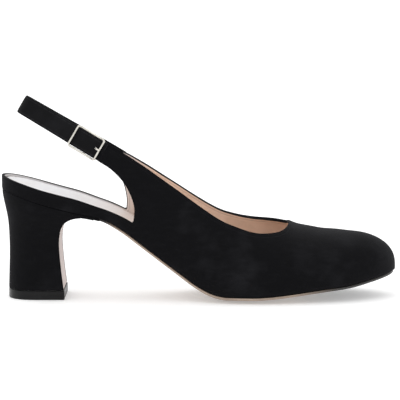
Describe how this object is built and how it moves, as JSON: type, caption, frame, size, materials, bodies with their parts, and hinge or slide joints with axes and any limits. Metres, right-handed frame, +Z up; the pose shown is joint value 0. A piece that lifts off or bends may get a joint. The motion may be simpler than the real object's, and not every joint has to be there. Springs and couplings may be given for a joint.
{
  "type": "slingback pump",
  "caption": "Women's slingback pump for the right foot: closed round toe, low vamp, open sides, buckled heel strap and a covered block heel.",
  "frame": {"origin": "middle of the toplift's flat face on the floor", "axes": "+X from the heel to the toe, +Y to the inner side of the foot, +Z up"},
  "size_m": [0.2364, 0.076, 0.1209],
  "materials": {
    "upper_suede": "matt black suede",
    "sole_leather": "smooth tan sole leather",
    "heel_cover": "matt black suede over a block",
    "toplift_rubber": "satin black",
    "sock": "smooth pale leather",
    "strap_suede": "matt black suede",
    "buckle_metal": "polished pale metal",
    "prong_metal": "polished pale metal"
  },
  "bodies": {
    "root": {"upper": "upper_suede", "outsole": "sole_leather", "heel": "heel_cover", "toplift": "toplift_rubber", "insole": "sock", "sling_strap": "strap_suede", "buckle_frame": "buckle_metal", "buckle_prong": "prong_metal"}
  },
  "joints": []
}
